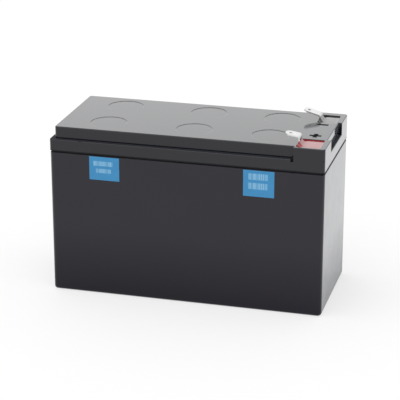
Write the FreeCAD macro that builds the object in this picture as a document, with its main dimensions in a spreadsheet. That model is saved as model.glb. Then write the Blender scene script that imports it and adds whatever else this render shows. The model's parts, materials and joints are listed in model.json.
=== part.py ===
"""Sealed lead-acid battery block: moulded case and lid, six cells in series, two bent tabs.

Millimetres, +Z up.  The origin is the middle of the underside, +X points to the terminal end and
-Y is the front, where the stickers are.  The six cells stand in two rows of three.  The series runs
from the positive terminal along the front row, across the middle wall at the far end, and back
along the rear row to the negative terminal.
"""
import FreeCAD, Part
import os
import re

import Sketcher

Vector = FreeCAD.Vector

# Every driving size, in millimetres or degrees, under the name that the formulas use.
SIZES = {
    # case
    "case_length": 151.0,
    "case_width": 65.0,
    "case_top": 80.1,
    "wall": 2.2,
    "floor_thickness": 2.5,
    "partition": 1.4,
    "case_corner": 2.4,
    "case_foot": 1.6,
    "case_rim": 0.4,
    "rest_rib_height": 1.5,
    "rest_rib_width": 2.0,
    "rest_rib_spacing": 24.0,
    # lid
    "seam_height": 0.8,
    "seam_depth": 0.9,
    "joint_corner": 2.6,
    "lid_height": 13.9,
    "ledge_drop": 6.6,
    "side_inset": 2.4,
    "end_inset": 2.0,
    "lid_plate": 3.0,
    "lid_corner": 1.6,
    "lid_edge": 0.4,
    "ledge_edge": 0.35,
    "block_length": 17.0,
    "block_width": 17.0,
    "slot_length": 1.6,
    "slot_above": 2.1,
    "slot_below": 1.5,
    "slot_depth": 1.5,
    # vents
    "seat_diameter": 20.2,
    "disc_gap": 0.12,
    "disc_sink": 0.4,
    "disc_thickness": 1.4,
    "chamber_width": 13.0,
    "chamber_depth": 5.7,
    "cup_wall": 1.6,
    "neck_diameter": 6.6,
    "neck_bore": 3.0,
    "neck_drop": 1.3,
    "cap_wall": 1.4,
    "cap_crown": 0.9,
    "cap_length": 4.6,
    "left_vent_shift": 2.3,
    "middle_vent_shift": 1.0,
    "right_vent_shift": -6.8,
    # terminals
    "well_width": 14.5,
    "well_depth": 7.5,
    "well_corner": 1.0,
    "well_end_wall": 3.0,
    "well_shell": 1.6,
    "seal_sink": 1.2,
    "post_diameter": 8.0,
    "post_gap": 0.2,
    "tab_width": 6.35,
    "tab_thickness": 0.8,
    "tab_bury": 4.0,
    "tab_foot_past_post": 3.2,
    "tab_bend": 1.2,
    "tab_hole": 1.7,
    "tab_hole_from_tip": 2.9,
    "tab_tip_cut": 1.5,
    "positive_well_length": 13.0,
    "positive_side_wall": 1.5,
    "positive_post_from_end": 9.5,
    "positive_post_from_side": 8.6,
    "positive_tab_from_post": 5.4,
    "positive_tab_rise": 5.0,
    "positive_tab_arm": 6.8,
    "positive_tab_tilt": 8.0,
    "negative_well_length": 10.5,
    "negative_side_wall": 4.5,
    "negative_post_from_end": 7.7,
    "negative_post_from_side": 12.7,
    "negative_tab_from_post": 4.8,
    "negative_tab_rise": 3.8,
    "negative_tab_arm": 8.4,
    "negative_tab_tilt": 15.0,
    # polarity marks
    "mark_length": 5.6,
    "mark_stroke": 1.3,
    "mark_depth": 0.7,
    "mark_from_end": 9.6,
    "mark_from_side": 22.6,
    # cells
    "plate_below_rim": 16.1,
    "positive_plate": 3.0,
    "negative_plate": 2.0,
    "separator_side": 0.9,
    "separator_proud": 1.6,
    "separator_gap": 0.8,
    "lug_width": 9.0,
    "lug_height": 5.0,
    "lug_inset": 1.0,
    "strap_width": 12.0,
    "strap_thickness": 4.0,
    "strap_end_gap": 0.5,
    "flag_thickness": 3.0,
    "flag_width": 11.0,
    "flag_height": 6.5,
    "weld_width": 6.0,
    "weld_height": 4.5,
    # stickers
    "sticker_width": 16.8,
    "left_sticker_height": 13.1,
    "right_sticker_height": 14.5,
    "sticker_thickness": 0.1,
    "sticker_below_rim": 0.5,
    "left_sticker_from_end": 22.6,
    "right_sticker_from_end": 107.7,
}

POSITIVE_COUNT = 4
NEGATIVE_COUNT = POSITIVE_COUNT + 1
SHEET_COUNT = 2 * POSITIVE_COUNT

# Places and spans that follow from the sizes.  A formula is text for the expression engine.
HALF_LENGTH = "(case_length / 2)"
HALF_WIDTH = "(case_width / 2)"
CELL_LENGTH = "((case_length - 2 * wall - 2 * partition) / 3)"
CELL_WIDTH = "((case_width - 2 * wall - partition) / 2)"
CELL_PITCH = f"({CELL_LENGTH} + partition)"
ROW_PITCH = f"(({CELL_WIDTH} + partition) / 2)"
CELL_FRONT = "(partition / 2)"

SKIRT_BOTTOM = "(case_top + seam_height)"
LID_TOP = "(case_top + lid_height)"
LEDGE = f"({LID_TOP} - ledge_drop)"
LID_UNDERSIDE = f"({LID_TOP} - lid_plate)"
SEAT_FLOOR = f"({LID_TOP} - disc_sink - disc_thickness)"
CHAMBER_FLOOR = f"({SEAT_FLOOR} - chamber_depth)"
CUP_BOTTOM = f"({CHAMBER_FLOOR} - cup_wall)"
CUP_WIDTH = "(chamber_width + 2 * cup_wall)"
NECK_TOP = f"({SEAT_FLOOR} - neck_drop)"
WELL_FLOOR = f"({LID_TOP} - well_depth)"
WELL_BOTTOM = f"({WELL_FLOOR} - well_shell)"
SEAL_TOP = f"({LID_TOP} - seal_sink)"

FOOT_BOTTOM = f"({SEAL_TOP} - tab_bury)"

PLATE_BOTTOM = "(floor_thickness + rest_rib_height)"
PLATE_TOP = "(case_top - plate_below_rim)"
STRAP_BOTTOM = f"({PLATE_TOP} + lug_height)"
STRAP_TOP = f"({STRAP_BOTTOM} + strap_thickness)"
FLAG_TOP = f"({STRAP_TOP} + flag_height)"
WELD_TOP = f"({STRAP_TOP} + weld_height)"
SEPARATOR_WIDTH = f"({CELL_LENGTH} - 2 * separator_gap)"
PLATE_WIDTH = f"({SEPARATOR_WIDTH} - 2 * separator_side)"
SHEET_THICKNESS = (
    f"(({CELL_WIDTH} - {POSITIVE_COUNT} * positive_plate - {NEGATIVE_COUNT} * negative_plate)"
    f" / {SHEET_COUNT})"
)

# Column of cells (-1, 0, 1 along X) to the place of its vents.
VENT_X = {
    -1: f"(-{CELL_PITCH} + left_vent_shift)",
    0: "(middle_vent_shift)",
    1: f"({CELL_PITCH} + right_vent_shift)",
}

# The cells in series order: column, row, the side of the positive strap, and where each strap is
# joined on: "end" to a terminal post, "next" through the cross wall, "row" through the middle wall.
CELLS = [
    {"column": 1, "row": -1, "positive_side": 1, "positive_joint": "end", "negative_joint": "next"},
    {"column": 0, "row": -1, "positive_side": 1, "positive_joint": "next", "negative_joint": "next"},
    {"column": -1, "row": -1, "positive_side": 1, "positive_joint": "next", "negative_joint": "row"},
    {"column": -1, "row": 1, "positive_side": -1, "positive_joint": "row", "negative_joint": "next"},
    {"column": 0, "row": 1, "positive_side": -1, "positive_joint": "next", "negative_joint": "next"},
    {"column": 1, "row": 1, "positive_side": -1, "positive_joint": "next", "negative_joint": "end"},
]

FRONT, BACK = -1, 1
TERMINALS = {"positive": FRONT, "negative": BACK}
TOLERANCE = 1e-4

doc = FreeCAD.newDocument("battery_block")
sheet = doc.addObject("Spreadsheet::Sheet", "sizes")
for line, (word, size) in enumerate(SIZES.items(), 1):
    sheet.set(f"A{line}", str(size))
    sheet.setAlias(f"A{line}", word)
doc.recompute()


# ---------------------------------------------------------------- helpers

def cell_of(word):
    """The spreadsheet cell that a size's name stands for; any other word stays as it is."""
    name = word.group()
    return f"sizes.{name}" if name in SIZES else name


def bind(thing, **formulas):
    """Bind properties to formulas; a double underscore stands for the dot in a property's path."""
    for path, formula in formulas.items():
        thing.setExpression(path.replace("__", "."), re.sub("[a-z_]+", cell_of, formula))


def place(thing, x="0", y="0", z="0"):
    """Put an object's own origin at three formulas."""
    bind(thing, Placement__Base__x=x, Placement__Base__y=y, Placement__Base__z=z)


def between(low, high):
    """Formula for the length from one place to another."""
    return f"({high}) - ({low})"


def new_body(name):
    body = doc.addObject("PartDesign::Body", name)
    body.Label = name
    return body


def sketch_on(body, name, role="XY_Plane", offset="0"):
    """A sketch on one of the body's origin planes, moved along the plane's normal by a formula."""
    sketch = body.newObject("Sketcher::SketchObject", name)
    plane = next(feature for feature in body.Origin.OriginFeatures if feature.Role == role)
    sketch.AttachmentSupport = (plane, [""])
    sketch.MapMode = "FlatFace"
    bind(sketch, AttachmentOffset__Base__z=offset)
    return sketch


def constrain(sketch, formula, *terms):
    """Add a constraint whose value follows a formula."""
    index = sketch.addConstraint(Sketcher.Constraint(*terms))
    bind(sketch, **{f"Constraints[{index}]": formula})


def pin(sketch, curve, end, x, y, start):
    """Hold a curve's end at two formulas from the sketch's origin; start is where it is drawn."""
    constrain(sketch, x, "DistanceX", -1, 1, curve, end, start[0])
    constrain(sketch, y, "DistanceY", -1, 1, curve, end, start[1])


def rectangle(sketch, x, y):
    """A rectangle between two formulas along each axis of the sketch."""
    first = sketch.GeometryCount
    corners = [Vector(-1, -1), Vector(1, -1), Vector(1, 1), Vector(-1, 1)]
    for side in range(4):
        following = (side + 1) % 4
        sketch.addGeometry(Part.LineSegment(corners[side], corners[following]), False)
    for side in range(4):
        following = (side + 1) % 4
        direction = "Vertical" if side % 2 else "Horizontal"
        sketch.addConstraint(Sketcher.Constraint("Coincident", first + side, 2, first + following, 1))
        sketch.addConstraint(Sketcher.Constraint(direction, first + side))
    pin(sketch, first, 1, x[0], y[0], (-1, -1))
    pin(sketch, first + 2, 1, x[1], y[1], (1, 1))


def circle(sketch, x, y, diameter):
    """A circle whose centre and diameter are formulas."""
    ring = sketch.addGeometry(Part.Circle(Vector(1, 1), Vector(0, 0, 1), 1), False)
    pin(sketch, ring, 3, x, y, (1, 1))
    constrain(sketch, diameter, "Diameter", ring, 2)


def pad(body, name, sketch, length, midplane=False):
    feature = body.newObject("PartDesign::Pad", name)
    feature.Profile = sketch
    feature.Midplane = midplane
    bind(feature, Length=length)
    return feature


def pocket(body, name, sketch, depth, upwards=False, midplane=False):
    """Cut against the sketch's normal, or along it where upwards, or both ways where midplane."""
    feature = body.newObject("PartDesign::Pocket", name)
    feature.Profile = sketch
    feature.Reversed = upwards
    feature.Midplane = midplane
    bind(feature, Length=depth)
    return feature


def dress(body, kind, name, base, chosen, **formulas):
    """Fillet or chamfer the edges of base that chosen accepts."""
    doc.recompute()
    edges = [f"Edge{number}" for number, edge in enumerate(base.Shape.Edges, 1) if chosen(edge)]
    feature = body.newObject(f"PartDesign::{kind}", name)
    feature.Base = (base, edges)
    bind(feature, **formulas)
    return feature


def near(value, wanted):
    return abs(value - wanted) < TOLERANCE


def level(edge, height):
    """Whether an edge lies flat at a height."""
    box = edge.BoundBox
    return near(box.ZMin, height) and near(box.ZMax, height)


def upright_at(edge, x, y):
    """Whether an edge is vertical and stands at this distance from the two middle planes."""
    box = edge.BoundBox
    middle = box.Center
    thin = near(box.XLength, 0) and near(box.YLength, 0)
    return thin and near(abs(middle.x), x) and near(abs(middle.y), y)


def block(name, x, y, z):
    """A box between two formulas along each axis."""
    box = doc.addObject("Part::Box", name)
    place(box, x[0], y[0], z[0])
    bind(box, Length=between(*x), Width=between(*y), Height=between(*z))
    return box


def round_bar(name, x, y, z, diameter):
    """An upright cylinder between two heights."""
    bar = doc.addObject("Part::Cylinder", name)
    place(bar, x, y, z[0])
    bind(bar, Radius=f"({diameter}) / 2", Height=between(*z))
    return bar


def fused(name, pieces):
    whole = doc.addObject("Part::MultiFuse", name)
    whole.Shapes = pieces
    whole.Refine = True
    return whole


def cut(name, base, tools):
    """The base with each tool taken away in turn."""
    for number, tool in enumerate(tools, 1):
        rest = doc.addObject("Part::Cut", name if number == len(tools) else f"{name}_rough_{number}")
        rest.Base = base
        rest.Tool = tool
        base = rest
    return base


def from_middle(side, low, high):
    """A span on one side of a middle plane, in rising order."""
    if side > 0:
        return (low, high)
    return (f"-({high})", f"-({low})")


def about(centre, width):
    """A span of a width about a centre."""
    return (f"({centre}) - ({width}) / 2", f"({centre}) + ({width}) / 2")


def cell_spans(column, row):
    """The spans of one cell's cavity along X and Y."""
    centre = f"{column} * {CELL_PITCH}"
    reach = from_middle(row, CELL_FRONT, f"{CELL_FRONT} + {CELL_WIDTH}")
    return about(centre, CELL_LENGTH), reach


# ---------------------------------------------------------------- case

def make_case():
    """The container: an outer block, six cavities, rest ribs and the weld windows."""
    body = new_body("case")
    half_length = SIZES["case_length"] / 2
    half_width = SIZES["case_width"] / 2

    outline = sketch_on(body, "case_outline")
    rectangle(outline, (f"-{HALF_LENGTH}", HALF_LENGTH), (f"-{HALF_WIDTH}", HALF_WIDTH))
    solid = pad(body, "case_block", outline, "case_top")
    corners = dress(body, "Fillet", "case_corners", solid,
                    lambda edge: upright_at(edge, half_length, half_width), Radius="case_corner")
    foot = dress(body, "Fillet", "case_foot_edge", corners,
                 lambda edge: level(edge, 0), Radius="case_foot")
    dress(body, "Chamfer", "case_rim_edge", foot,
          lambda edge: level(edge, SIZES["case_top"]), Size="case_rim")

    cavities = sketch_on(body, "cavities", offset="case_top")
    for cell in CELLS:
        rectangle(cavities, *cell_spans(cell["column"], cell["row"]))
    pocket(body, "cavity_pockets", cavities, "case_top - floor_thickness")

    ribs = sketch_on(body, "rest_ribs", offset="floor_thickness")
    for cell in CELLS:
        reach = cell_spans(cell["column"], cell["row"])[1]
        for side in (-1, 1):
            centre = f"{cell['column']} * {CELL_PITCH} + {side} * rest_rib_spacing / 2"
            rectangle(ribs, about(centre, "rest_rib_width"), reach)
    pad(body, "rest_rib_pads", ribs, "rest_rib_height")

    for side in (-1, 1):
        window = sketch_on(body, "cross_window", "YZ_Plane", f"{side} * {CELL_PITCH} / 2")
        for row in (FRONT, BACK):
            rectangle(window, about(f"{row} * {ROW_PITCH}", "weld_width"), (STRAP_TOP, WELD_TOP))
        pocket(body, "cross_window_pocket", window, "2 * partition", midplane=True)
    window = sketch_on(body, "middle_window", "XZ_Plane")
    centre = f"-{HALF_LENGTH} + wall + strap_width / 2"
    rectangle(window, about(centre, "weld_width"), (STRAP_TOP, WELD_TOP))
    pocket(body, "middle_window_pocket", window, "2 * partition", midplane=True)
    return body


# ---------------------------------------------------------------- lid

def well_spans(pole, shell="0"):
    """The spans of one terminal well along X and Y, or of the shell on its two inner sides."""
    end = f"{HALF_LENGTH} - well_end_wall"
    side = f"{HALF_WIDTH} - {pole}_side_wall"
    x = (f"{end} - {pole}_well_length - {shell}", end)
    return x, from_middle(TERMINALS[pole], f"{side} - well_width - {shell}", side)


def post_place(pole):
    """Where a terminal post stands."""
    x = f"({HALF_LENGTH} - {pole}_post_from_end)"
    return x, f"{TERMINALS[pole]} * ({HALF_WIDTH} - {pole}_post_from_side)"


def add_outer_lid(body):
    """The lid's outside: skirt band, joint rim, inset upper part and the two corner blocks."""
    half_length = SIZES["case_length"] / 2
    half_width = SIZES["case_width"] / 2
    inset_length = half_length - SIZES["side_inset"]
    inset_width = half_width - SIZES["side_inset"]
    lid_top = SIZES["case_top"] + SIZES["lid_height"]
    ledge = lid_top - SIZES["ledge_drop"]

    skirt = sketch_on(body, "skirt", offset=SKIRT_BOTTOM)
    rectangle(skirt, (f"-{HALF_LENGTH}", HALF_LENGTH), (f"-{HALF_WIDTH}", HALF_WIDTH))
    band = pad(body, "skirt_pad", skirt, between(SKIRT_BOTTOM, LEDGE))
    rounded = dress(body, "Fillet", "skirt_corners", band,
                    lambda edge: upright_at(edge, half_length, half_width), Radius="lid_corner")
    dress(body, "Chamfer", "ledge_cut", rounded, lambda edge: level(edge, ledge), Size="ledge_edge")

    rim = sketch_on(body, "joint_rim", offset="case_top")
    rectangle(rim, (f"-{HALF_LENGTH} + seam_depth", f"{HALF_LENGTH} - seam_depth"),
              (f"-{HALF_WIDTH} + seam_depth", f"{HALF_WIDTH} - seam_depth"))
    joint = pad(body, "joint_rim_pad", rim, between("case_top", LEDGE))
    joint_length = half_length - SIZES["seam_depth"]
    joint_width = half_width - SIZES["seam_depth"]
    dress(body, "Fillet", "joint_corners", joint,
          lambda edge: upright_at(edge, joint_length, joint_width), Radius="joint_corner")
    upper = sketch_on(body, "upper", offset=LEDGE)
    rectangle(upper, (f"-{HALF_LENGTH} + side_inset", f"{HALF_LENGTH} - end_inset"),
              (f"-{HALF_WIDTH} + side_inset", f"{HALF_WIDTH} - side_inset"))
    pad(body, "upper_pad", upper, "ledge_drop")
    blocks = sketch_on(body, "corner_blocks", offset=SKIRT_BOTTOM)
    for row in (FRONT, BACK):
        reach = from_middle(row, f"{HALF_WIDTH} - block_width", HALF_WIDTH)
        rectangle(blocks, (f"{HALF_LENGTH} - block_length", HALF_LENGTH), reach)
    solid = pad(body, "corner_block_pads", blocks, between(SKIRT_BOTTOM, LID_TOP))

    def upper_corner(edge):
        if edge.BoundBox.XMax < 0:
            return upright_at(edge, inset_length, inset_width)
        return upright_at(edge, half_length, half_width)

    corners = dress(body, "Fillet", "upper_corners", solid, upper_corner, Radius="lid_corner")
    dress(body, "Chamfer", "lid_top_edge", corners,
          lambda edge: level(edge, lid_top), Size="lid_edge")


def add_head_space(body):
    """The hollow over each cell, which steps in with the outside."""
    low = sketch_on(body, "head_space", offset="case_top")
    for cell in CELLS:
        rectangle(low, *cell_spans(cell["column"], cell["row"]))
    pocket(body, "head_space_pocket", low, between("case_top", f"{LEDGE} - wall"), upwards=True)

    high = sketch_on(body, "high_space", offset=f"{LEDGE} - wall")
    for cell in CELLS:
        left, right = cell_spans(cell["column"], cell["row"])[0]
        if cell["column"] < 0:
            left = f"{left} + side_inset"
        if cell["column"] > 0:
            right = f"{right} - end_inset"
        reach = from_middle(cell["row"], CELL_FRONT, f"{CELL_FRONT} + {CELL_WIDTH} - side_inset")
        rectangle(high, (left, right), reach)
    pocket(body, "high_space_pocket", high, between(f"{LEDGE} - wall", LID_UNDERSIDE), upwards=True)


def add_vent_cups(body):
    """Six square cups under the top plate, each with a round seat for its disc and a neck inside."""
    cups = sketch_on(body, "cups", offset=CUP_BOTTOM)
    seats = sketch_on(body, "seats", offset=LID_TOP)
    mouths = sketch_on(body, "mouths", offset=SEAT_FLOOR)
    chambers = sketch_on(body, "chambers", offset=NECK_TOP)
    bores = sketch_on(body, "bores", offset=NECK_TOP)
    for cell in CELLS:
        x = VENT_X[cell["column"]]
        y = f"{cell['row']} * {ROW_PITCH}"
        rectangle(cups, about(x, CUP_WIDTH), about(y, CUP_WIDTH))
        circle(seats, x, y, "seat_diameter")
        rectangle(mouths, about(x, "chamber_width"), about(y, "chamber_width"))
        rectangle(chambers, about(x, "chamber_width"), about(y, "chamber_width"))
        circle(chambers, x, y, "neck_diameter")
        circle(bores, x, y, "neck_bore")
    pad(body, "cup_pads", cups, between(CUP_BOTTOM, SEAT_FLOOR))
    pocket(body, "seat_pockets", seats, between(SEAT_FLOOR, LID_TOP))
    pocket(body, "mouth_pockets", mouths, between(NECK_TOP, SEAT_FLOOR))
    pocket(body, "chamber_pockets", chambers, between(CHAMBER_FLOOR, NECK_TOP))
    pocket(body, "bore_pockets", bores, between(CUP_BOTTOM, NECK_TOP))


def add_terminal_wells(body):
    """The two wells in the corner blocks, each with a hole for its post."""
    shells = sketch_on(body, "well_shells", offset=WELL_BOTTOM)
    wells = sketch_on(body, "wells", offset=LID_TOP)
    holes = sketch_on(body, "post_holes", offset=WELL_FLOOR)
    for pole in TERMINALS:
        rectangle(shells, *well_spans(pole, "well_shell"))
        rectangle(wells, *well_spans(pole))
        circle(holes, *post_place(pole), "post_diameter + 2 * post_gap")
    pad(body, "well_shell_pads", shells, between(WELL_BOTTOM, LID_UNDERSIDE))
    deep = pocket(body, "well_pockets", wells, "well_depth")

    places = []
    end = SIZES["case_length"] / 2 - SIZES["well_end_wall"]
    for pole in TERMINALS:
        side = SIZES["case_width"] / 2 - SIZES[f"{pole}_side_wall"]
        for x in (end, end - SIZES[f"{pole}_well_length"]):
            places += [(x, side), (x, side - SIZES["well_width"])]
    dress(body, "Fillet", "well_corners", deep,
          lambda edge: any(upright_at(edge, *spot) for spot in places), Radius="well_corner")
    pocket(body, "post_hole_pockets", holes, "well_shell")


def add_marks_and_slots(body):
    """The sunk plus and minus, and the short slot at each end of the side ledges."""
    bars = sketch_on(body, "mark_bars", offset=LID_TOP)
    mark_x = f"{HALF_LENGTH} - mark_from_end"
    for row in (FRONT, BACK):
        mark_y = f"{row} * ({HALF_WIDTH} - mark_from_side)"
        rectangle(bars, about(mark_x, "mark_length"), about(mark_y, "mark_stroke"))
    pocket(body, "mark_bar_pockets", bars, "mark_depth")
    upright = sketch_on(body, "mark_upright", offset=LID_TOP)
    plus_y = f"mark_from_side - {HALF_WIDTH}"
    rectangle(upright, about(mark_x, "mark_stroke"), about(plus_y, "mark_length"))
    pocket(body, "mark_upright_pocket", upright, "mark_depth")

    slot_end = f"{HALF_LENGTH} - block_length + slot_length / 4"
    for row in (FRONT, BACK):
        slot = sketch_on(body, "slot", "XZ_Plane", f"{-row} * {HALF_WIDTH}")
        rectangle(slot, (f"{slot_end} - slot_length", slot_end),
                  (f"{LEDGE} - slot_below", f"{LEDGE} + slot_above"))
        pocket(body, "slot_pocket", slot, "slot_depth", upwards=(row == BACK))


def make_lid():
    body = new_body("lid")
    add_outer_lid(body)
    add_head_space(body)
    add_vent_cups(body)
    add_terminal_wells(body)
    add_marks_and_slots(body)
    return body


# ---------------------------------------------------------------- vents

def turned(name, corners, x, y, z):
    """A piece turned about an upright axis: corners are radius and height formulas."""
    body = new_body(name)
    profile = sketch_on(body, "profile", "XZ_Plane")
    count = len(corners)
    drawn = [Vector(1 + corner, corner * corner) for corner in range(count)]
    for side in range(count):
        profile.addGeometry(Part.LineSegment(drawn[side], drawn[(side + 1) % count]), False)
    for side, (radius, height) in enumerate(corners):
        following = (side + 1) % count
        profile.addConstraint(Sketcher.Constraint("Coincident", side, 2, following, 1))
        pin(profile, side, 1, radius, height, (drawn[side].x, drawn[side].y))
    turn = body.newObject("PartDesign::Revolution", "turn")
    turn.Profile = profile
    turn.ReferenceAxis = (profile, ["V_Axis"])
    turn.Angle = 360
    place(body, x, y, z)
    return body


def make_vents():
    """A rubber cap over each neck and a disc over each cup."""
    disc_radius = "(seat_diameter / 2 - disc_gap)"
    cap_radius = "(neck_diameter / 2 + cap_wall)"
    neck_radius = "(neck_diameter / 2)"
    made = []
    for number, cell in enumerate(CELLS, 1):
        x = VENT_X[cell["column"]]
        y = f"{cell['row']} * {ROW_PITCH}"
        disc = [
            ("0", "disc_thickness"),
            ("0", "0"),
            (disc_radius, "0"),
            (disc_radius, "disc_thickness"),
        ]
        made.append(turned(f"vent_disc_{number}", disc, x, y, SEAT_FLOOR))
        cap = [
            ("0", "cap_crown"),
            ("0", "0"),
            (neck_radius, "0"),
            (neck_radius, "cap_crown - cap_length"),
            (cap_radius, "cap_crown - cap_length"),
            (cap_radius, "cap_crown"),
        ]
        made.append(turned(f"vent_cap_{number}", cap, x, y, NECK_TOP))
    return made


# ---------------------------------------------------------------- cells

def strap_spans(cell, side):
    """The spans along X of a strap and of its lugs, on one side of a cell."""
    wall_face = f"({cell['column']} * {CELL_PITCH} + {side} * {CELL_LENGTH} / 2)"
    plate_edge = f"({cell['column']} * {CELL_PITCH} + {side} * {PLATE_WIDTH} / 2)"
    strap = (wall_face, f"{wall_face} - {side} * strap_width")
    outer = f"{plate_edge} - {side} * lug_inset"
    lug = (outer, f"{outer} - {side} * lug_width")
    if side > 0:
        return strap[::-1], lug[::-1]
    return strap, lug


def flag(name, cell, side, joint):
    """The upright that a strap turns up against the wall it is welded through."""
    wall_x = f"({cell['column']} * {CELL_PITCH} + {side} * {CELL_LENGTH} / 2)"
    if joint == "next":
        inner = f"{wall_x} - {side} * flag_thickness"
        x = (inner, wall_x) if side > 0 else (wall_x, inner)
        y = about(f"{cell['row']} * {ROW_PITCH}", "flag_width")
        return block(name, x, y, (STRAP_TOP, FLAG_TOP))
    x = about(f"{wall_x} - {side} * strap_width / 2", "flag_width")
    reach = f"{CELL_FRONT} + strap_end_gap + flag_thickness"
    y = from_middle(cell["row"], CELL_FRONT, reach)
    return block(name, x, y, (STRAP_BOTTOM, FLAG_TOP))


def plate_group(name, cell, side, joint, first, count, thickness):
    """Plates with lugs, burnt onto one strap.  first is where the first plate's front face lies."""
    strap_x, lug_x = strap_spans(cell, side)
    centre = f"{cell['column']} * {CELL_PITCH}"
    stride = f"(positive_plate + negative_plate + 2 * {SHEET_THICKNESS})"
    pieces = []
    for number in range(count):
        front = f"{first} + {number} * {stride}"
        y = (front, f"{front} + {thickness}")
        pieces.append(block(f"{name}_plate", about(centre, PLATE_WIDTH), y, (PLATE_BOTTOM, PLATE_TOP)))
        pieces.append(block(f"{name}_lug", lug_x, y, (PLATE_TOP, STRAP_BOTTOM)))
    low, high = cell_spans(cell["column"], cell["row"])[1]
    strap_y = (f"{low} + strap_end_gap", f"{high} - strap_end_gap")
    pieces.append(block(f"{name}_strap", strap_x, strap_y, (STRAP_BOTTOM, STRAP_TOP)))
    if joint != "end":
        pieces.append(flag(f"{name}_flag", cell, side, joint))
    return fused(name, pieces)


def separator_sheets(name, cell, first):
    """One glass mat sheet between each two plates of a cell."""
    centre = f"{cell['column']} * {CELL_PITCH}"
    sheets = []
    for number in range(SHEET_COUNT):
        pairs, odd = divmod(number, 2)
        stride = f"(positive_plate + negative_plate + 2 * {SHEET_THICKNESS})"
        front = f"{first} + negative_plate + {pairs} * {stride}"
        if odd:
            front = f"{front} + {SHEET_THICKNESS} + positive_plate"
        y = (front, f"{front} + {SHEET_THICKNESS}")
        sheets.append(block(f"{name}_sheet", about(centre, SEPARATOR_WIDTH), y,
                            (PLATE_BOTTOM, f"{PLATE_TOP} + separator_proud")))
    group = doc.addObject("Part::Compound", name)
    group.Links = sheets
    return group


def weld(name, cell, joint, side):
    """The lead that fills the window between two flags."""
    if joint == "next":
        wall_centre = f"({cell['column']} + {side} / 2) * {CELL_PITCH}"
        x = about(wall_centre, "partition")
        y = about(f"{cell['row']} * {ROW_PITCH}", "weld_width")
    else:
        x = about(f"-{HALF_LENGTH} + wall + strap_width / 2", "weld_width")
        y = about("0", "partition")
    return block(name, x, y, (STRAP_TOP, WELD_TOP))


def make_cells():
    """Plate groups and separators of the six cells, and the five welds between them."""
    made = []
    for number, cell in enumerate(CELLS, 1):
        front = cell_spans(cell["column"], cell["row"])[1][0]
        side = cell["positive_side"]
        positive_front = f"{front} + negative_plate + {SHEET_THICKNESS}"
        made.append(plate_group(f"positive_plates_{number}", cell, side, cell["positive_joint"],
                                positive_front, POSITIVE_COUNT, "positive_plate"))
        made.append(plate_group(f"negative_plates_{number}", cell, -side, cell["negative_joint"],
                                front, NEGATIVE_COUNT, "negative_plate"))
        made.append(separator_sheets(f"separators_{number}", cell, front))
        if cell["negative_joint"] != "end":
            made.append(weld(f"cell_weld_{number}", cell, cell["negative_joint"], -side))
    return made


# ---------------------------------------------------------------- terminals

def make_post(pole):
    """A lead post from the end strap up through the lid, with the tab's foot soldered to its top."""
    x, y = post_place(pole)
    return round_bar(f"{pole}_post", x, y, (STRAP_TOP, FOOT_BOTTOM), "post_diameter")


def add_tab_path(body, pole):
    """The strip's middle line: along the foot, up the blade and out along the arm."""
    path = sketch_on(body, "path", "XZ_Plane")
    bend = SIZES["tab_bend"]
    foot = SIZES[f"{pole}_tab_from_post"] + SIZES["tab_foot_past_post"]
    rise = SIZES["tab_bury"] + SIZES[f"{pole}_tab_rise"]
    arm = SIZES[f"{pole}_tab_arm"]
    drawn = [
        Part.LineSegment(Vector(foot, 0), Vector(bend, 0)),
        Part.ArcOfCircle(Part.Circle(Vector(bend, bend), Vector(0, 0, 1), bend), 3.1416, 4.7124),
        Part.LineSegment(Vector(0, bend), Vector(0, rise - bend)),
        Part.ArcOfCircle(Part.Circle(Vector(-bend, rise - bend), Vector(0, 0, 1), bend), 0, 1.4),
        Part.LineSegment(Vector(-bend, rise), Vector(-arm, rise + 1)),
    ]
    for curve in drawn:
        path.addGeometry(curve, False)
    tangent = [(0, 2, 1, 2), (1, 1, 2, 1), (2, 2, 3, 1), (3, 2, 4, 1)]
    for joint in tangent:
        path.addConstraint(Sketcher.Constraint("Tangent", *joint))
    path.addConstraint(Sketcher.Constraint("Horizontal", 0))
    path.addConstraint(Sketcher.Constraint("Vertical", 2))
    path.addConstraint(Sketcher.Constraint("PointOnObject", 0, 1, -1))
    path.addConstraint(Sketcher.Constraint("PointOnObject", 2, 1, -2))
    constrain(path, f"{pole}_tab_from_post + tab_foot_past_post", "DistanceX", -1, 1, 0, 1, foot)
    constrain(path, "tab_bend", "Radius", 1, bend)
    constrain(path, "tab_bend", "Radius", 3, bend)
    constrain(path, f"tab_bury + {pole}_tab_rise - tab_bend", "DistanceY", -1, 1, 2, 2, rise - bend)
    constrain(path, f"{pole}_tab_arm", "Distance", 4, arm)
    constrain(path, f"180 - {pole}_tab_tilt", "Angle", -1, 1, 4, 1, 3.0)
    return path


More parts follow.
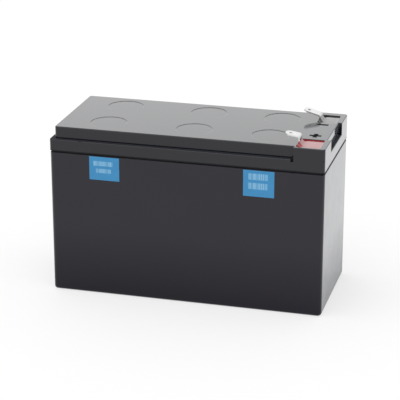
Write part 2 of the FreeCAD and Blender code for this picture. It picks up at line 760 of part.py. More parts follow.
def make_tab(pole):
    """A stamped blade: foot on the post, upright blade, and an arm bent over towards the middle."""
    body = new_body(f"{pole}_tab")
    path = add_tab_path(body, pole)
    section = sketch_on(body, "section", "YZ_Plane", f"{pole}_tab_from_post + tab_foot_past_post")
    rectangle(section, ("-tab_width / 2", "tab_width / 2"), ("-tab_thickness / 2", "tab_thickness / 2"))
    strip = body.newObject("PartDesign::AdditivePipe", "strip")
    strip.Profile = section
    strip.Spine = (path, [f"Edge{number}" for number in range(1, 6)])
    doc.recompute()

    def tip_corner(edge):
        across = near(edge.BoundBox.YLength, 0) and near(edge.Length, SIZES["tab_thickness"])
        return across and edge.BoundBox.Center.x < 0

    dress(body, "Chamfer", "tip_cuts", strip, tip_corner, Size="tab_tip_cut")
    arm_hole = sketch_on(body, "arm_hole", offset=f"tab_bury + {pole}_tab_rise")
    hole_x = f"-({pole}_tab_arm + tab_bend - tab_hole_from_tip) * cos({pole}_tab_tilt)"
    circle(arm_hole, hole_x, "0", "tab_hole")
    pocket(body, "arm_hole_pocket", arm_hole, f"{pole}_tab_arm", midplane=True)
    x, y = post_place(pole)
    place(body, f"{x} - {pole}_tab_from_post", y, f"{FOOT_BOTTOM} + tab_thickness / 2")
    return body


def make_seal(pole, post, tab):
    """Cast resin that fills the well round the post and the tab's foot."""
    fill = block(f"{pole}_fill", *well_spans(pole), (WELL_FLOOR, SEAL_TOP))
    rounded = doc.addObject("Part::Fillet", f"{pole}_rounded")
    rounded.Base = fill
    doc.recompute()
    uprights = [number for number, edge in enumerate(fill.Shape.Edges, 1)
                if near(edge.BoundBox.XLength + edge.BoundBox.YLength, 0)]
    radius = SIZES["well_corner"]
    rounded.Edges = [(number, radius, radius) for number in uprights]
    return cut(f"{pole}_seal", rounded, [post, tab])


def make_terminals():
    made = []
    for pole in TERMINALS:
        post = make_post(pole)
        tab = make_tab(pole)
        made += [post, tab, make_seal(pole, post, tab)]
    return made


# ---------------------------------------------------------------- stickers

def make_sticker(name, from_end, height):
    """A thin printed sticker on the front wall, just under the case's rim."""
    body = new_body(name)
    outline = sketch_on(body, "outline", "XZ_Plane", HALF_WIDTH)
    left = f"{from_end} - {HALF_LENGTH}"
    top = "case_top - sticker_below_rim"
    rectangle(outline, (left, f"{left} + sticker_width"), (f"{top} - {height}", top))
    pad(body, "sheet", outline, "sticker_thickness")
    return body


def make_all():
    """Build every sub-part and return them as a list."""
    made = [make_case(), make_lid()]
    made += make_vents()
    made += make_cells()
    made += make_terminals()
    made.append(make_sticker("left_sticker", "left_sticker_from_end", "left_sticker_height"))
    made.append(make_sticker("right_sticker", "right_sticker_from_end", "right_sticker_height"))
    return made


def write_out(parts):
    """Check every object of the document, then write one STEP file for each sub-part."""
    doc.recompute()
    for thing in doc.Objects:
        if "Invalid" in thing.State or "Error" in thing.State:
            raise RuntimeError(f"{thing.Name} failed: {thing.State}")
    for part in parts:
        if part.Shape.isNull() or not part.Shape.isValid():
            raise RuntimeError(f"{part.Label} has no valid shape")
    os.makedirs("parts", exist_ok=True)
    for part in parts:
        part.Shape.exportStep(f"parts/{part.Label}.step")
        print(f"{part.Label}: {len(part.Shape.Solids)} solid(s), {part.Shape.Volume:.1f} mm3")


write_out(make_all())
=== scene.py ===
"""Looks of a sealed lead-acid battery block: black moulded case and lid, resin-filled terminal wells,
tinned tabs and two blue stickers.

Everything is in metres, in the part's own frame: the origin is the middle of the underside, +X points
to the terminal end, -Y is the front and +Z is up.  The solids come from the frame.  This script gives
each of them its finish, and adds the cast resin with its crept-up edges, the faces of the vent discs
with the weld flash round them, and the bead of sealant in the seam, whose near-black face without
gloss is also painted shade: it stands in for the shade deep in the seam.
"""
import json
import math

import bpy
import numpy as np
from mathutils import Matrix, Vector


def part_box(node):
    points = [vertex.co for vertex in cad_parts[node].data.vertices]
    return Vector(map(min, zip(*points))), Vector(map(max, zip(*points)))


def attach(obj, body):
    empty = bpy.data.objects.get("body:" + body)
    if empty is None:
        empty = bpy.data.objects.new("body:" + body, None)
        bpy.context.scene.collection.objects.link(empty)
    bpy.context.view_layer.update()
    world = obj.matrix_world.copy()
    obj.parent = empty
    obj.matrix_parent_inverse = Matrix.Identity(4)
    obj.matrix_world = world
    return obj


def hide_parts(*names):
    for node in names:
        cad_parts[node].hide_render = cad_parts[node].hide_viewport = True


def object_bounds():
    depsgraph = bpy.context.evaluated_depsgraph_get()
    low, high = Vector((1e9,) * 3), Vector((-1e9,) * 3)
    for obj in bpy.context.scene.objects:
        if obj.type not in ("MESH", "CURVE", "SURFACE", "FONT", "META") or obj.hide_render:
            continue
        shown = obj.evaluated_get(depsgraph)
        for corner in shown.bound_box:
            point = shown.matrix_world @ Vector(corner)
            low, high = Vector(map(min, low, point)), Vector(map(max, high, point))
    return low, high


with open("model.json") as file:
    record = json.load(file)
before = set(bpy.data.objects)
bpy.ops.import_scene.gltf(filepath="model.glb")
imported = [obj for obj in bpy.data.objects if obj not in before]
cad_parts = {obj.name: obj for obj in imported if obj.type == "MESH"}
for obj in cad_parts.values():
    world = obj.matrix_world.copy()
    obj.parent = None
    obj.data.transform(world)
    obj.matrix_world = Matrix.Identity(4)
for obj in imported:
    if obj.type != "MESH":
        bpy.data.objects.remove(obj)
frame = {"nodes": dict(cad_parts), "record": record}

CAD_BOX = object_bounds()
MM = 0.001

# Places that the solids' boxes don't give by themselves.
SEAM_HEIGHT = 0.8 * MM
SEAM_DEPTH = 0.9 * MM
JOINT_CORNER = 2.6 * MM
LEDGE_BELOW_TOP = 6.6 * MM
CELL_PITCH = 49.33 * MM
WELL_FLOOR_BELOW_RESIN = 6.3 * MM
WELL_CORNER = 1.0 * MM
BLADE_THICKNESS = 0.8 * MM
BLADE_FROM_WELL_WALL = {"positive": 1.1 * MM, "negative": 1.0 * MM}
VENTS = 6

# The short slots at the ends of the side ledges: from and to along X, half their height, and depth.
SLOT_SPAN = (57.2 * MM, 59.0 * MM)
SLOT_REACH = 2.2 * MM
SLOT_DEPTH = 1.5 * MM

# The sunk plus and minus: their middle along X and to each side, and half of a bar's length and width,
# each with a dull rim of 0.4 to 0.55 mm.
MARK_ALONG, MARK_ASIDE = 65.9 * MM, 9.9 * MM
MARK_LONG, MARK_SHORT = 3.2 * MM, 1.2 * MM
MARK_DEPTH = 0.8 * MM

# Finish of the mouldings.  A dull place stops SKIN short of the outer faces, so that they keep their
# gloss, and that of a mark reaches SKIN above the lid's top, so that it takes in the mark's rim.
SKIN = 0.04 * MM
SHELF_BAND = 0.12 * MM
SHRINK_WIDTH = 3.5 * MM
FOOT_HEIGHT = 38.0 * MM
SKIRT_EDGE, LID_EDGE, DISC_EDGE = 1.0 * MM, 0.10 * MM, 0.05 * MM
DULL_ABOVE_SEAM, DULL_BELOW_SEAM = 0.55 * MM, 0.35 * MM
SEAM_DULLNESS = 0.75

# The poured resin: how far it stands above the plain solid, its swell, and what creeps up the well's
# wall and the blade, with the distances over which each fades.
POUR_RISE = 0.6 * MM
POUR_SWELL = 0.04 * MM
WALL_CREEP, WALL_FADE = 0.25 * MM, 0.3 * MM
BLADE_MOUND, BLADE_FADE = 2.4 * MM, 0.8 * MM
MOUND_FROM_WALL = 0.25 * MM

# The vent discs' faces and the flash round them, and the sealant in the seam, which is partly painted
# shade.
DISC_SINK = 0.2 * MM
DISC_ROUNDING = 0.08 * MM
FLASH_INSET = 0.02 * MM
FLASH_BELOW_TOP = 0.14 * MM
FLASH_HALF_WIDTH, FLASH_HALF_HEIGHT = 0.15 * MM, 0.09 * MM
BEAD_BULGE, BEAD_LESS_AT_CORNERS = 0.34 * MM, 0.26 * MM
BEAD_HALF_HEIGHT = 0.38 * MM
BEAD_EDGE_BEHIND, BEAD_BACK_BEHIND = 0.02 * MM, 0.06 * MM

# The black of the case leans to violet, that of the lid to blue.
CASE_TINT = (0.0050, 0.0034, 0.0095)
LID_TINT = (0.0078, 0.0082, 0.0120)

# Rows of strokes on each sticker: middle and half height, left and right ends, as shares of its size.
STROKE_ROWS = {
    "left_sticker": ((0.71, 0.10, 0.14, 0.78), (0.40, 0.09, 0.22, 0.72)),
    "right_sticker": ((0.76, 0.12, 0.17, 0.80), (0.40, 0.12, 0.17, 0.78)),
}


def middle_and_half(low, high):
    """The middle of a span and half its length."""
    return (low + high) / 2, (high - low) / 2


def span_about(middle, half):
    """The low and high end of a span, from its middle and half its length."""
    return middle - half, middle + half


# ---------------------------------------------------------------- finishes

class Finish:
    """A material worked out by nodes from the place on the object, in metres."""

    def __init__(self, name):
        self.material = bpy.data.materials.new(name)
        self.material.use_nodes = True
        self.tree = self.material.node_tree
        self.shader = self.tree.nodes["Principled BSDF"]
        self.place = self.add("ShaderNodeTexCoord").outputs["Object"]

    def add(self, kind, **settings):
        """A new node of a kind, with its settings."""
        node = self.tree.nodes.new(kind)
        for name, value in settings.items():
            setattr(node, name, value)
        return node

    def feed(self, socket, value):
        """Give a socket a constant, or link another node's output to it."""
        if isinstance(value, bpy.types.NodeSocket):
            self.tree.links.new(value, socket)
        else:
            socket.default_value = value

    def set(self, **values):
        """Constants and links on the shader; an underscore stands for a space in a socket's name."""
        for name, value in values.items():
            self.feed(self.shader.inputs[name.replace("_", " ")], value)

    def stretched(self, scale):
        """The place on the object, stretched along each axis."""
        mapping = self.add("ShaderNodeMapping")
        self.feed(mapping.inputs["Vector"], self.place)
        mapping.inputs["Scale"].default_value = scale
        return mapping.outputs["Vector"]

    def noise(self, per_metre, detail=2.0, roughness=0.5, stretch=(1, 1, 1)):
        """Cloudy noise from 0 to 1, with so many clouds in a metre."""
        node = self.add("ShaderNodeTexNoise")
        self.feed(node.inputs["Vector"], self.stretched(stretch))
        node.inputs["Scale"].default_value = per_metre
        node.inputs["Detail"].default_value = detail
        node.inputs["Roughness"].default_value = roughness
        return node.outputs["Fac"]

    def pits(self, per_metre):
        """Distance to the nearest of many scattered points."""
        node = self.add("ShaderNodeTexVoronoi")
        self.feed(node.inputs["Vector"], self.place)
        node.inputs["Scale"].default_value = per_metre
        return node.outputs["Distance"]

    def combine(self, operation, first, second=0.0, third=0.0):
        """One step of arithmetic; COMPARE gives 1 where first is within third of second."""
        node = self.add("ShaderNodeMath", operation=operation)
        for socket, value in zip(node.inputs, (first, second, third)):
            self.feed(socket, value)
        return node.outputs[0]

    def spread(self, value, low, high, start=0.0, end=1.0):
        """Map a value from start..end to low..high, held at the ends."""
        node = self.add("ShaderNodeMapRange")
        for name, number in zip(("Value", "From Min", "From Max", "To Min", "To Max"),
                                (value, start, end, low, high)):
            self.feed(node.inputs[name], number)
        return node.outputs["Result"]

    def mix(self, share, first, second):
        """A colour between two, by a share from 0 to 1."""
        node = self.add("ShaderNodeMix", data_type="RGBA")
        self.feed(node.inputs["Factor"], share)
        for socket, colour in ((node.inputs[6], first), (node.inputs[7], second)):
            self.feed(socket, colour if isinstance(colour, bpy.types.NodeSocket) else (*colour, 1.0))
        return node.outputs[2]

    def axis(self, letter):
        """One coordinate of the place on the object."""
        split = self.add("ShaderNodeSeparateXYZ")
        self.feed(split.inputs[0], self.place)
        return split.outputs[letter]

    def inside(self, *spans, signed=""):
        """1 where X, Y and Z each lie in a span of low and high, 0 elsewhere.

        An axis counts without its sign, so that a place has its mirror images, unless it is in signed.
        """
        within = 1.0
        for letter, span in zip("XYZ", spans):
            along = self.axis(letter)
            if letter not in signed:
                along = self.combine("ABSOLUTE", along)
            in_span = self.combine("COMPARE", along, *middle_and_half(*span))
            within = self.combine("MULTIPLY", in_span, within)
        return within

    def bump(self, height, metres, under=None):
        """Raise the surface by a height from 0 to 1 times a depth in metres."""
        node = self.add("ShaderNodeBump")
        node.inputs["Distance"].default_value = metres
        self.feed(node.inputs["Height"], height)
        if under is not None:
            self.feed(node.inputs["Normal"], under)
        return node.outputs["Normal"]

    def rounded_edges(self, radius):
        """Shade edges as if they had a small radius."""
        node = self.add("ShaderNodeBevel", samples=6)
        self.feed(node.inputs["Radius"], radius)
        return node.outputs["Normal"]


def shrink_lines(finish):
    """A faint sink mark, 0 to 1, where a cross wall meets the long sides, fading with the distance."""
    from_middle = finish.combine("ABSOLUTE", finish.axis("X"))
    from_wall = finish.combine("ABSOLUTE", finish.combine("SUBTRACT", from_middle, CELL_PITCH / 2))
    return finish.spread(from_wall, 1.0, 0.0, 0.0, SHRINK_WIDTH)


def dull_places(finish, shelf_height):
    """How dull the moulding is, from 0 to 1.

    The narrow shelf at shelf_height and the slots beside it keep the tool's coarser texture, and so do
    the sunk plus and minus with a rim round each.  The edges on both sides of the seam were roughened
    when the lid was sealed on.
    """
    case_top, lid_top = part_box("case")[1].z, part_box("lid")[1].z
    half_length, half_width = CAD_BOX[1][0] - SKIN, CAD_BOX[1][1] - SKIN
    mark_heights = (lid_top + SKIN - MARK_DEPTH, lid_top + SKIN)
    seam_heights = (case_top - DULL_BELOW_SEAM, case_top + SEAM_HEIGHT + DULL_ABOVE_SEAM)
    shelf = finish.inside((0, half_length), (0, half_width), span_about(shelf_height, SHELF_BAND))
    slots = finish.inside(SLOT_SPAN, (half_width - SLOT_DEPTH, half_width),
                          span_about(shelf_height, SLOT_REACH))
    bars = finish.inside(span_about(MARK_ALONG, MARK_LONG), span_about(MARK_ASIDE, MARK_SHORT),
                         mark_heights, signed="X")
    upright = finish.inside(span_about(MARK_ALONG, MARK_SHORT), span_about(-MARK_ASIDE, MARK_LONG),
                            mark_heights, signed="XY")
    seam = finish.combine("COMPARE", finish.axis("Z"), *middle_and_half(*seam_heights))
    dull = finish.combine("MULTIPLY", seam, SEAM_DULLNESS)
    for mask in (shelf, slots, bars, upright):
        dull = finish.combine("MAXIMUM", dull, mask)
    return dull


def black_moulding(name, tint, grain, roughness, shelf_height, edge_radius, foot_gloss=1.0,
                   shrink=False):
    """Black ABS: near-black with a little drift, fine tool grain, slow waviness and faint rubbing.

    The gloss coat thins evenly from FOOT_HEIGHT down to the foot, where foot_gloss of it is left.  Edges
    below the shelf are rounder, by SKIRT_EDGE, than those above it, by edge_radius.
    """
    finish = Finish(name)
    drift = finish.noise(38.0, 3.0)
    finish.set(Base_Color=finish.mix(drift, [0.8 * part for part in tint], [1.25 * part for part in tint]))
    dull, height = dull_places(finish, shelf_height), finish.axis("Z")
    rubbed = finish.spread(finish.noise(95.0, 5.0, 0.62), roughness - 0.04, roughness + 0.05, 0.3, 0.7)
    coat = finish.spread(height, foot_gloss, 1.0, 0.0, FOOT_HEIGHT)
    finish.set(Roughness=finish.spread(dull, rubbed, 0.85), IOR=1.5, Specular_IOR_Level=0.25)
    finish.set(Coat_Weight=finish.spread(dull, coat, 0.0), Coat_IOR=1.3, Coat_Roughness=roughness)
    finish.set(Sheen_Weight=0.15, Sheen_Roughness=0.35, Sheen_Tint=(0.82, 0.90, 1.0, 1.0))
    radius = finish.spread(height, SKIRT_EDGE, edge_radius, shelf_height - MM, shelf_height)
    wave = finish.bump(finish.noise(26.0, 1.0), 0.06 * MM, finish.rounded_edges(radius))
    if shrink:
        wave = finish.bump(shrink_lines(finish), -0.012 * MM, wave)
    finish.set(Normal=finish.bump(finish.noise(2600.0, 2.0), grain, wave))
    return finish.material


def tinned_strip(name):
    """Tin-plated brass: bright, with fine rolling lines along the strip and slightly duller patches."""
    finish = Finish(name)
    patches = finish.noise(420.0, 3.0)
    finish.set(Base_Color=finish.mix(patches, (0.60, 0.60, 0.595), (0.74, 0.74, 0.735)), Metallic=1.0)
    lines = finish.noise(1400.0, 3.0, 0.6, stretch=(0.08, 3.0, 0.4))
    finish.set(Roughness=finish.spread(lines, 0.20, 0.38, 0.3, 0.7))
    edges = finish.rounded_edges(0.12 * MM)
    finish.set(Normal=finish.bump(lines, 0.008 * MM, edges))
    return finish.material


def cast_resin(name, deep, shallow, roughness):
    """Poured resin: a deep colour that drifts paler in clouds, a hard gloss and a few fine bubbles."""
    finish = Finish(name)
    cloud = finish.noise(310.0, 3.0)
    finish.set(Base_Color=finish.mix(cloud, deep, shallow), Roughness=roughness, IOR=1.5)
    finish.set(Coat_Weight=1.0, Coat_IOR=1.35, Coat_Roughness=0.08)
    bubbles = finish.spread(finish.pits(900.0), 1.0, 0.0, 0.05, 0.16)
    swell = finish.bump(finish.noise(240.0, 1.0), 0.05 * MM)
    finish.set(Normal=finish.bump(bubbles, 0.01 * MM, swell))
    return finish.material


def printed_film(node):
    """Blue sticker film with two rows of paler upright strokes that spell nothing.

    The strokes are where a noise along X alone is high, so they differ in width and in the gaps.
    """
    low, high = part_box(node)
    width, height = high.x - low.x, high.z - low.z
    finish = Finish(node)
    across = finish.combine("DIVIDE", finish.combine("SUBTRACT", finish.axis("X"), low.x), width)
    up = finish.combine("DIVIDE", finish.combine("SUBTRACT", finish.axis("Z"), low.z), height)
    strokes = finish.spread(finish.noise(1700.0, 1.0, stretch=(1, 0, 0)), 0.15, 1.0, 0.43, 0.56)
    printed = 0.0
    for middle, half, first, last in STROKE_ROWS[node]:
        row = finish.combine("COMPARE", up, middle, half)
        within = finish.combine("COMPARE", across, *middle_and_half(first, last))
        marks = finish.combine("MULTIPLY", finish.combine("MULTIPLY", row, within), strokes)
        printed = finish.combine("MAXIMUM", printed, marks)
    tone = finish.noise(160.0, 3.0)
    film = finish.mix(tone, (0.024, 0.208, 0.430), (0.037, 0.250, 0.506))
    finish.set(Base_Color=finish.mix(printed, film, (0.22, 0.46, 0.66)), Roughness=0.34, IOR=1.46)
    finish.set(Normal=finish.bump(finish.noise(700.0, 3.0), 0.01 * MM))
    return finish.material


def dull_metal(name, dark, light, grain=0.03 * MM):
    """Cast lead or paste: matt, blotchy and slightly rough."""
    finish = Finish(name)
    blotch = finish.noise(260.0, 5.0, 0.6)
    finish.set(Base_Color=finish.mix(blotch, dark, light), Metallic=0.5)
    finish.set(Roughness=finish.spread(blotch, 0.45, 0.75), Normal=finish.bump(blotch, grain))
    return finish.material


def felted_glass(name):
    """White glass mat: matt fibres, finely mottled."""
    finish = Finish(name)
    fibres = finish.noise(1800.0, 5.0, 0.7, stretch=(1.0, 1.0, 0.2))
    finish.set(Base_Color=finish.mix(fibres, (0.66, 0.66, 0.63), (0.85, 0.85, 0.82)), Roughness=0.95)
    finish.set(Normal=finish.bump(fibres, 0.05 * MM))
    return finish.material


def weld_flash(name):
    """Plastic squeezed out by welding: whitened by the strain, matt and uneven."""
    finish = Finish(name)
    strain = finish.noise(520.0, 4.0, 0.6)
    finish.set(Base_Color=finish.mix(strain, (0.16, 0.16, 0.165), (0.26, 0.26, 0.27)))
    finish.set(Roughness=0.4, Coat_Weight=1.0, Coat_IOR=1.3, Coat_Roughness=0.2)
    finish.set(Normal=finish.bump(strain, 0.01 * MM))
    return finish.material


def soft_rubber(name, pale):
    """Black rubber or cured sealant with a dusty bloom, as pale as its lightest patches."""
    finish = Finish(name)
    bloom = finish.noise(420.0, 4.0)
    finish.set(Base_Color=finish.mix(bloom, [0.3 * pale] * 3, [pale] * 3))
    finish.set(Roughness=0.8, Specular_IOR_Level=0.0, Normal=finish.bump(bloom, 0.01 * MM))
    return finish.material


def paint_nodes():
    """Give every solid of the frame the finish of its material slot, and return the finishes by slot."""
    case_top, lid_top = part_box("case")[1].z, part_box("lid")[1].z
    ledge = lid_top - LEDGE_BELOW_TOP
    finishes = {
        "case_plastic": black_moulding("case_plastic", CASE_TINT, grain=0.006 * MM, roughness=0.17,
                                       shelf_height=case_top, edge_radius=SKIRT_EDGE, foot_gloss=0.05,
                                       shrink=True),
        "lid_plastic": black_moulding("lid_plastic", LID_TINT, grain=0.003 * MM, roughness=0.08,
                                      shelf_height=ledge, edge_radius=LID_EDGE),
        "disc_plastic": black_moulding("disc_plastic", LID_TINT, grain=0.003 * MM, roughness=0.10,
                                       shelf_height=ledge, edge_radius=DISC_EDGE),
        "cap_rubber": soft_rubber("cap_rubber", 0.035),
        "positive_paste": dull_metal("positive_paste", (0.05, 0.022, 0.015), (0.12, 0.06, 0.04)),
        "negative_paste": dull_metal("negative_paste", (0.15, 0.155, 0.17), (0.27, 0.28, 0.30)),
        "glass_mat": felted_glass("glass_mat"),
        "lead": dull_metal("lead", (0.2, 0.21, 0.23), (0.38, 0.39, 0.41), 0.015 * MM),
        "tinned_brass": tinned_strip("tinned_brass"),
        "red_resin": cast_resin("red_resin", (0.22, 0.008, 0.012), (0.36, 0.016, 0.024), 0.16),
        "grey_resin": cast_resin("grey_resin", (0.016, 0.016, 0.018), (0.028, 0.028, 0.031), 0.12),
    }
    for part in frame["record"]["subparts"]:
        name, slot = part["node"], part["material_slot"]
        finish = printed_film(name) if slot == "blue_film" else finishes[slot]
        materials = frame["nodes"][name].data.materials
        materials.clear()
        materials.append(finish)
    return finishes


# ---------------------------------------------------------------- pieces

def make_piece(name, points, faces, material):
    """A smooth mesh from an array of points and a list of faces, riding on the one body."""
    mesh = bpy.data.meshes.new(name)
    mesh.from_pydata(points.reshape(-1, 3).tolist(), [], faces)
    mesh.update()
    mesh.polygons.foreach_set("use_smooth", np.full(len(mesh.polygons), True))
    mesh.materials.append(material)
    piece = bpy.data.objects.new(name, mesh)
    bpy.context.scene.collection.objects.link(piece)
    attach(piece, "root")
    return piece


def grid_faces(rows, columns, around=False):
    """Quads between neighbouring points of a grid; around joins the last column to the first."""
    row, column = np.meshgrid(np.arange(rows - 1), np.arange(columns - (not around)), indexing="ij")
    following = (column + 1) % columns
    quads = np.stack([row * columns + column, row * columns + following,
                      (row + 1) * columns + following, (row + 1) * columns + column], -1)
    return quads.reshape(-1, 4)


def ring_faces(stations, section):
    """Quads of a closed section carried round a closed path, with one row of points for each station."""
    index = np.arange(stations * section).reshape(stations, section)
    ahead = np.roll(index, -1, 0)
    quads = np.stack([index, ahead, np.roll(ahead, -1, 1), np.roll(index, -1, 1)], -1)
    return quads.reshape(-1, 4)


def rounded_box_distance(x, y, half_x, half_y, corner):
    """Signed distance from a rounded rectangle about the origin, below 0 inside it.

    The distance is the length of the part of (|x|, |y|) that lies past the corner's centre, or the
    larger of the two parts where that is below 0, less the corner's radius.
    """
    over_x = np.abs(x) - (half_x - corner)
    over_y = np.abs(y) - (half_y - corner)
    outside = np.hypot(np.maximum(over_x, 0), np.maximum(over_y, 0))
    return outside + np.minimum(np.maximum(over_x, over_y), 0) - corner


def pull_inside(x, y, half_x, half_y, corner):
    """Draw the square corner of a grid into a rounded one, so that no two points meet.

    A point at (a, b) from the corner's centre moves to (a, b) * max(a, b) / hypot(a, b), which takes
    the square's outline to the arc.
    """
    over_x = np.maximum(np.abs(x) - (half_x - corner), 0)
    over_y = np.maximum(np.abs(y) - (half_y - corner), 0)
    shrink = np.maximum(over_x, over_y) / np.maximum(np.hypot(over_x, over_y), 1e-12)
    new_x = np.sign(x) * (np.minimum(np.abs(x), half_x - corner) + over_x * shrink)
    new_y = np.sign(y) * (np.minimum(np.abs(y), half_y - corner) + over_y * shrink)
    return new_x, new_y


def make_resin(pole, material, steps=72):
    """The resin poured into a well, as one closed block.

    Its top is a grid over the well.  The height at a point is the pour's level, which stands POUR_RISE
    above the plain solid so that the well is full to near its rim, plus a slow swell, plus WALL_CREEP
    times exp(-distance / WALL_FADE) from the well's wall, plus BLADE_MOUND times
    exp(-distance / BLADE_FADE) from the blade.  The mound also fades as
    1 - exp(-distance / MOUND_FROM_WALL) towards the well's wall.
    """
    low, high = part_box(f"{pole}_seal")
    tab_low, tab_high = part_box(f"{pole}_tab")
    centre_x, centre_y = (low.x + high.x) / 2, (low.y + high.y) / 2
    half_x, half_y = (high.x - low.x) / 2, (high.y - low.y) / 2
    # u and v are measured from the well's middle, in steps that grow finer towards its walls.
    share = np.linspace(-1, 1, steps)
    finer_at_ends = (share + np.sin(share * math.pi / 2)) / 2
    u, v = np.meshgrid(half_x * finer_at_ends, half_y * finer_at_ends, indexing="ij")
    u, v = pull_inside(u, v, half_x, half_y, WELL_CORNER)

    wall = np.maximum(-rounded_box_distance(u, v, half_x, half_y, WELL_CORNER), 0)
    blade_u = low.x + BLADE_FROM_WELL_WALL[pole] - centre_x
    blade_v = (tab_low.y + tab_high.y) / 2 - centre_y
    blade = np.maximum(rounded_box_distance(u - blade_u, v - blade_v, BLADE_THICKNESS / 2,
                                            (tab_high.y - tab_low.y) / 2, 0), 0)
    swell = POUR_SWELL * np.sin(u / (3.1 * MM) + 0.7) * np.cos(v / (3.9 * MM))
    creep = WALL_CREEP * np.exp(-wall / WALL_FADE)
    mound = BLADE_MOUND * np.exp(-blade / BLADE_FADE) * (1 - np.exp(-wall / MOUND_FROM_WALL))
    top = high.z + POUR_RISE + swell + creep + mound
    floor = np.full_like(top, high.z - WELL_FLOOR_BELOW_RESIN)

    x, y = u + centre_x, v + centre_y
    points = np.stack([np.stack([x, y, top], -1), np.stack([x, y, floor], -1)])
    sheet, count = grid_faces(steps, steps), steps * steps
    index = np.arange(count).reshape(steps, steps)
    rim = np.concatenate([index[:-1, 0], index[-1, :-1], index[:0:-1, -1], index[0, :0:-1]])
    following = np.roll(rim, -1)
    sides = np.stack([rim, rim + count, following + count, following], -1)
    faces = np.concatenate([sheet[:, ::-1], sheet + count, sides])
    piece = make_piece(f"{pole}_resin", points, faces.tolist(), material)
    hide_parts(f"{pole}_seal")


def make_vent_face(number, material, stations=144):
    """A vent disc that stands higher than the plain solid, DISC_SINK under the lid's top.

    It is a profile turned about the disc's axis: the top, a rounding, the side and the underside.  The
    points beside the rounding keep the flat faces flat.
    """
    low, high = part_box(f"vent_disc_{number}")
    radius, top = (high.x - low.x) / 2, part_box("lid")[1].z - DISC_SINK
    inner, under, keep = radius - DISC_ROUNDING, top - DISC_ROUNDING, DISC_ROUNDING / 2
    bend = np.linspace(0, math.pi / 2, 5)
    arc = np.stack([inner + DISC_ROUNDING * np.sin(bend), under + DISC_ROUNDING * np.cos(bend)], -1)
    profile = np.concatenate([
        [(radius / 2, top), (inner - keep, top)],
        arc,
        [(radius, under - keep), (radius, low.z + keep), (radius, low.z), (radius - keep, low.z),
         (radius / 2, low.z)]])
    turn = np.linspace(0, 2 * math.pi, stations, endpoint=False)
    around = np.stack([np.cos(turn), np.sin(turn)], -1)
    rings = np.empty((len(profile), stations, 3))
    rings[..., :2] = profile[:, None, :1] * around + [(low.x + high.x) / 2, (low.y + high.y) / 2]
    rings[..., 2] = profile[:, None, 1]
    index = np.arange(len(profile) * stations).reshape(-1, stations)
    faces = grid_faces(len(profile), stations, around=True)[:, ::-1].tolist()
    faces += [index[0].tolist(), index[-1, ::-1].tolist()]
    piece = make_piece(f"vent_face_{number}", rings, faces, material)
    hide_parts(f"vent_disc_{number}")


def make_weld_flash(number, material, stations=144, section=9):
    """The flash between a vent disc and its seat: a low ridge carried round the disc's edge.

    The section is an ellipse just under the lid's top.  It swells and thins by a tenth as it goes round,
    as the sum of two sines.
    """
    low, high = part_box(f"vent_disc_{number}")
    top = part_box("lid")[1].z
    centre_x, centre_y = (low.x + high.x) / 2, (low.y + high.y) / 2
    radius = (high.x - low.x) / 2 - FLASH_INSET
    turn = np.linspace(0, 2 * math.pi, stations, endpoint=False)[:, None]
    around = np.linspace(0, 2 * math.pi, section, endpoint=False)[None, :]
    size = 1 + 0.07 * np.sin(11 * turn) + 0.04 * np.sin(29 * turn + centre_x / MM)
    reach = radius + FLASH_HALF_WIDTH * size * np.cos(around)
    height = top - FLASH_BELOW_TOP + FLASH_HALF_HEIGHT * size * np.sin(around)
    points = np.stack([centre_x + reach * np.cos(turn), centre_y + reach * np.sin(turn), height], -1)
    faces = ring_faces(stations, section).tolist()
    make_piece(f"vent_flash_{number}", points, faces, material)


def make_seam_bead(material, per_side=60):
    """Sealant squeezed into the seam: a low ridge carried round the joint rim.  Being near-black and
    without
    gloss, it is also painted shade: it stands in for the shade deep in the seam.

    The path is the rim's rectangle with round corners.  At each place on it the section is half an
    ellipse, a little lower than the seam.  Its bulge drifts by a tenth of a millimetre along the path,
    as the sum of two sines, and is less round the corners.
    """
    low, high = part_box("case")
    half_x, half_y = high.x - SEAM_DEPTH, (high.y - low.y) / 2 - SEAM_DEPTH
    turn = np.linspace(0, math.pi / 2, 12)
    path, outward = [], []
    corners = [(1, 1), (-1, 1), (-1, -1), (1, -1)]
    for quarter, corner in enumerate(corners):
        angle = turn + quarter * math.pi / 2
        normal = np.stack([np.cos(angle), np.sin(angle)], -1)
        inner = np.array([half_x, half_y]) - JOINT_CORNER
        arc = np.array(corner) * inner + JOINT_CORNER * normal
        following = np.array(corners[(quarter + 1) % 4]) * inner + JOINT_CORNER * normal[-1]
        share = np.linspace(0, 1, per_side + 2)[1:-1, None]
        path += [arc, arc[-1] + share * (following - arc[-1])]
        outward += [normal, np.repeat(normal[-1:], per_side, 0)]
    path, outward = np.concatenate(path), np.concatenate(outward)

    along = np.linspace(0, 2 * math.pi, len(path), endpoint=False)
    bulge = BEAD_BULGE + 0.06 * MM * np.sin(23 * along) + 0.04 * MM * np.sin(57 * along + 1.0)
    bulge -= BEAD_LESS_AT_CORNERS * (np.abs(outward).min(-1) > 0.05)
    around = np.linspace(-math.pi / 2, math.pi / 2, 9)
    reach = bulge[:, None] * np.cos(around) - BEAD_EDGE_BEHIND
    centre_z = high.z + SEAM_HEIGHT / 2
    points = np.empty((len(path), len(around) + 1, 3))
    points[:, :-1, :2] = path[:, None] + reach[..., None] * outward[:, None]
    points[:, :-1, 2] = centre_z + BEAD_HALF_HEIGHT * np.sin(around)
    points[:, -1, :2] = path - BEAD_BACK_BEHIND * outward
    points[:, -1, 2] = centre_z
    make_piece("seam_bead", points, ring_faces(*points.shape[:2]).tolist(), material)


# ---------------------------------------------------------------- studio

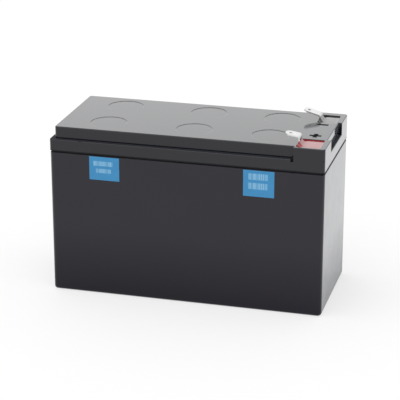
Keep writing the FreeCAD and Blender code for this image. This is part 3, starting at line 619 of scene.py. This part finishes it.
def seen_or_mirrored(tree):
    """1 for rays from the camera and for mirrored or refracted ones, 0 for rays that gather light."""
    ray = tree.nodes.new("ShaderNodeLightPath")
    seen = ray.outputs["Is Camera Ray"]
    for kind in ("Is Glossy Ray", "Is Transmission Ray"):
        either = tree.nodes.new("ShaderNodeMath")
        either.operation = "MAXIMUM"
        tree.links.new(seen, either.inputs[0])
        tree.links.new(ray.outputs[kind], either.inputs[1])
        seen = either.outputs[0]
    return seen


def make_floor(whiteness):
    """A pale sheet under the block; a share of what is seen of it is plain white, so its shadow is soft."""
    reach = 6.0
    mesh = bpy.data.meshes.new("floor")
    corners = [(-reach, -reach, 0), (reach, -reach, 0), (reach, reach, 0), (-reach, reach, 0)]
    mesh.from_pydata(corners, [], [(0, 1, 2, 3)])
    floor = bpy.data.objects.new("floor", mesh)
    bpy.context.scene.collection.objects.link(floor)
    finish = Finish("floor_paper")
    tone = finish.noise(3.0, 2.0)
    finish.set(Base_Color=finish.mix(tone, (0.90, 0.90, 0.90), (0.93, 0.93, 0.93)), Roughness=0.9,
               Specular_IOR_Level=0.1)
    white, blend = finish.add("ShaderNodeEmission"), finish.add("ShaderNodeMixShader")
    share = finish.spread(seen_or_mirrored(finish.tree), 0.0, whiteness)
    output = finish.tree.nodes["Material Output"]
    for value, socket in ((share, blend.inputs[0]), (finish.shader.outputs[0], blend.inputs[1]),
                          (white.outputs[0], blend.inputs[2]), (blend.outputs[0], output.inputs[0])):
        finish.feed(socket, value)
    mesh.materials.append(finish.material)


def make_world(level):
    """Even white surroundings: strength 1 where they are seen or mirrored, and a plain level as light."""
    world = bpy.data.worlds.new("surroundings")
    world.use_nodes = True
    bpy.context.scene.world = world
    tree = world.node_tree
    background = tree.nodes["Background"]
    background.inputs["Color"].default_value = (1, 1, 1, 1)
    strength = tree.nodes.new("ShaderNodeMapRange")
    strength.inputs["To Min"].default_value = level
    strength.inputs["To Max"].default_value = 1.0
    tree.links.new(seen_or_mirrored(tree), strength.inputs["Value"])
    tree.links.new(strength.outputs["Result"], background.inputs["Strength"])


def make_lamp(name, place, aim, size, glow):
    """A rectangular soft lamp at a place, turned towards a point; glow is how bright its face is."""
    light = bpy.data.lights.new(name, "AREA")
    light.shape = "RECTANGLE"
    light.size, light.size_y = size
    light.energy = glow * math.pi * size[0] * size[1]
    lamp = bpy.data.objects.new(name, light)
    lamp.location = place
    lamp.rotation_euler = (Vector(aim) - Vector(place)).to_track_quat("-Z", "Y").to_euler()
    bpy.context.scene.collection.objects.link(lamp)


def make_camera(azimuth, elevation, distance, aim, lens):
    """A camera that looks at a point from an azimuth and an elevation, in degrees."""
    data = bpy.data.cameras.new("camera")
    data.lens = lens
    data.clip_start = 0.01
    camera = bpy.data.objects.new("camera", data)
    turn, rise = math.radians(azimuth), math.radians(elevation)
    back = Vector((math.sin(turn) * math.cos(rise), -math.cos(turn) * math.cos(rise), math.sin(rise)))
    camera.location = Vector(aim) + distance * back
    camera.rotation_euler = back.to_track_quat("Z", "Y").to_euler()
    bpy.context.scene.collection.objects.link(camera)
    bpy.context.scene.camera = camera


def make_studio():
    """Floor, surroundings, two lamps and the camera."""
    make_floor(whiteness=0.60)
    make_world(level=0.95)
    middle = (0, 0, 0.05)
    make_lamp("overhead", place=(-0.6, -0.6, 2.4), aim=middle, size=(2.6, 2.6), glow=0.80)
    make_lamp("back", place=(-0.55, 1.9, 0.95), aim=middle, size=(2.6, 1.3), glow=0.25)
    make_camera(azimuth=15.06, elevation=20.12, distance=0.9162, aim=(0, 0, 0.048), lens=149.0)
    bpy.context.scene.view_settings.view_transform = "Standard"


# ---------------------------------------------------------------- making

finishes = paint_nodes()
make_resin("positive", finishes["red_resin"])
make_resin("negative", finishes["grey_resin"])
# Painted shade: the sealant in the seam is near-black and has no gloss at all, so besides being the sealant
# it stands in for the shade deep in the seam.
make_seam_bead(soft_rubber("seam_sealant_and_shade", 0.03))
flash = weld_flash("weld_flash")
for number in range(1, VENTS + 1):
    make_vent_face(number, finishes["disc_plastic"])
    make_weld_flash(number, flash)
make_studio()
